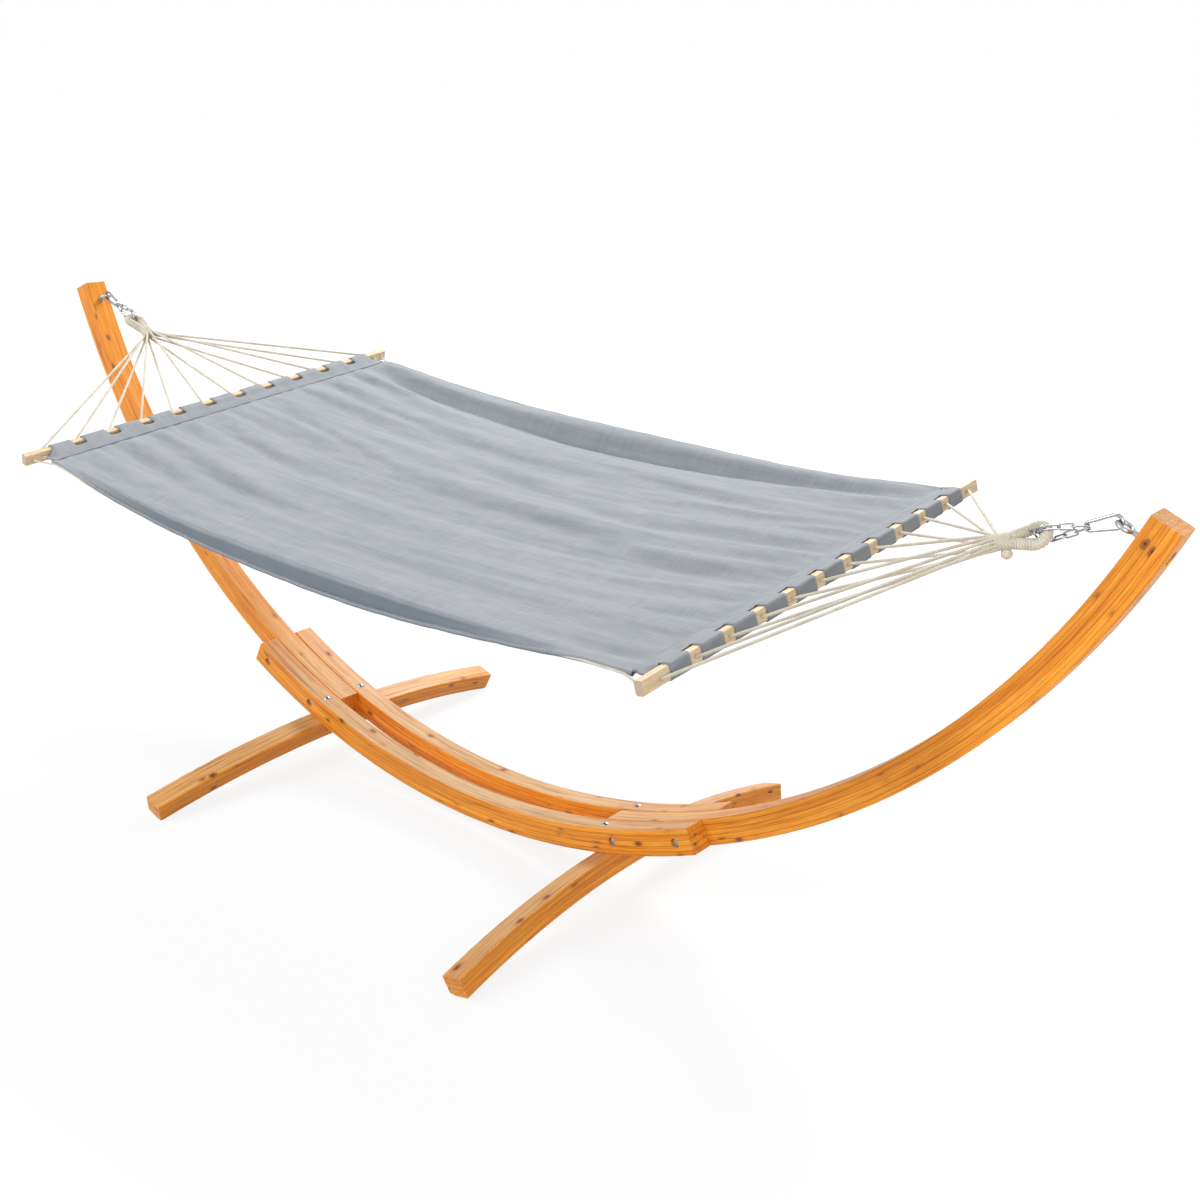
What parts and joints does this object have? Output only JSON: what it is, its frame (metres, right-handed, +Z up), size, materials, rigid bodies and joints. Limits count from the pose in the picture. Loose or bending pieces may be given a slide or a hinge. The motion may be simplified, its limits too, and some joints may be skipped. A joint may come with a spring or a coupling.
{
  "type": "hammock on stand",
  "caption": "Spreader-bar hammock with a grey canvas bed hung on cords, chains and snap hooks from an arched laminated-wood stand with two cross feet.",
  "frame": {"origin": "on the floor below the middle of the stand, where its two planes of symmetry meet", "axes": "+X along the length to the right-hand arm, +Y across to the far rail, +Z up"},
  "size_m": [3.1966, 1.158, 1.1328],
  "materials": {
    "stained_larch": "orange-brown stained glue-laminated larch, satin",
    "pale_beech": "pale plain hardwood, sanded, clear oiled",
    "zinc_steel": "zinc-plated steel fixings, satin",
    "bright_zinc": "bright zinc-plated chain",
    "cotton_cord": "cream laid cotton cord",
    "grey_canvas": "blue-grey plain-weave cotton canvas"
  },
  "bodies": {
    "stand": {"rail_near": "stained_larch", "rail_far": "stained_larch", "arm_left": "stained_larch", "arm_right": "stained_larch", "foot_left": "stained_larch", "foot_right": "stained_larch", "clamp_bolts_left": "zinc_steel", "clamp_bolts_right": "zinc_steel", "clamp_washers_left": "zinc_steel", "clamp_washers_right": "zinc_steel", "clamp_nuts_left": "zinc_steel", "clamp_nuts_right": "zinc_steel", "foot_bolts_left": "zinc_steel", "foot_bolts_right": "zinc_steel", "foot_washers_left": "zinc_steel", "foot_washers_right": "zinc_steel", "foot_nuts_left": "zinc_steel", "foot_nuts_right": "zinc_steel", "eye_bolt_left": "zinc_steel", "eye_bolt_right": "zinc_steel", "eye_washer_left": "zinc_steel", "eye_washer_right": "zinc_steel", "eye_nut_left": "zinc_steel", "eye_nut_right": "zinc_steel"},
    "hammock": {"snap_hook_left": "zinc_steel", "snap_hook_right": "zinc_steel", "gate_pin_left": "zinc_steel", "gate_pin_right": "zinc_steel", "chain_left": "bright_zinc", "chain_right": "bright_zinc", "rope_eye_left": "cotton_cord", "rope_eye_right": "cotton_cord", "whipping_left": "cotton_cord", "whipping_right": "cotton_cord", "seizing_left": "cotton_cord", "seizing_right": "cotton_cord", "cords_left": "cotton_cord", "cords_right": "cotton_cord", "spreader_bar_left": "pale_beech", "spreader_bar_right": "pale_beech", "cord_knots_left": "cotton_cord", "cord_knots_right": "cotton_cord", "canvas": "grey_canvas", "hem_cord_near": "cotton_cord", "hem_cord_far": "cotton_cord"},
    "gate_left": {"gate_left": "zinc_steel", "gate_spring_left": "zinc_steel"},
    "gate_right": {"gate_right": "zinc_steel", "gate_spring_right": "zinc_steel"}
  },
  "joints": [
    {"name": "hammock_swing", "type": "hinge", "parent": "stand", "child": "hammock", "pos_m": [0, 0, 1.10238], "axis": [1, 0, 0], "range_deg": [-25, 25]},
    {"name": "gate_left_open", "type": "hinge", "parent": "hammock", "child": "gate_left", "pos_m": [-1.44007, 0, 1.09243], "axis": [0, -1, 0], "range_deg": [0, 18], "stiffness_Nm_per_rad": 0.3, "springref_deg": -20.05},
    {"name": "gate_right_open", "type": "hinge", "parent": "hammock", "child": "gate_right", "pos_m": [1.44007, 0, 1.09243], "axis": [0, 1, 0], "range_deg": [0, 18], "stiffness_Nm_per_rad": 0.3, "springref_deg": -20.05}
  ]
}
